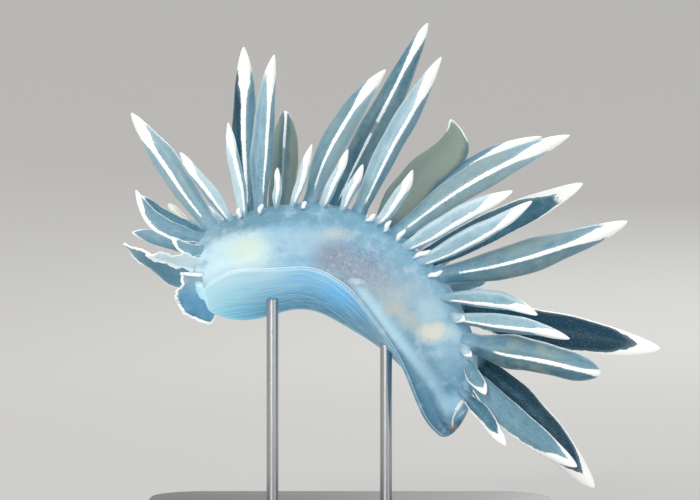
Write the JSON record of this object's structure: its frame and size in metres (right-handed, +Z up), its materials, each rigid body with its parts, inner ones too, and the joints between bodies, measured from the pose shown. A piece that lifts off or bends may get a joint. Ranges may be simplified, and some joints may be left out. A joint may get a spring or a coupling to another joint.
{
  "type": "alabaster nudibranch model",
  "caption": "Life-size model of a white-lined nudibranch with a fan of leaf-shaped cerata, arched in a swimming pose and carried by short rods on a flat base.",
  "frame": {"origin": "centre of the underside of the stand's base", "axes": "+Z up; +X from the animal's head towards its tail; the animal's left side faces -Y"},
  "size_m": [0.1377, 0.076, 0.1283],
  "materials": {
    "flesh": "wet, translucent blue-white flesh with white lines on the cerata",
    "foot": "wet, smooth blue sole with a paler front",
    "veil": "wet, thin pale flesh with a white wavy margin",
    "rhinophore": "wet, cream-white leaved club",
    "base": "satin dark acrylic slab with eased edges",
    "rod": "satin steel rod"
  },
  "bodies": {
    "root": {"head": "flesh", "body_front": "flesh", "body_middle": "flesh", "body_rear": "flesh", "tail": "flesh", "foot_front": "foot", "foot_middle": "foot", "foot_rear": "foot", "veil_left": "veil", "veil_right": "veil", "veil_front": "veil", "rhinophore_left": "rhinophore", "rhinophore_right": "rhinophore", "stand_base": "base", "stand_rod_front": "rod", "stand_rod_rear": "rod"}
  },
  "joints": []
}
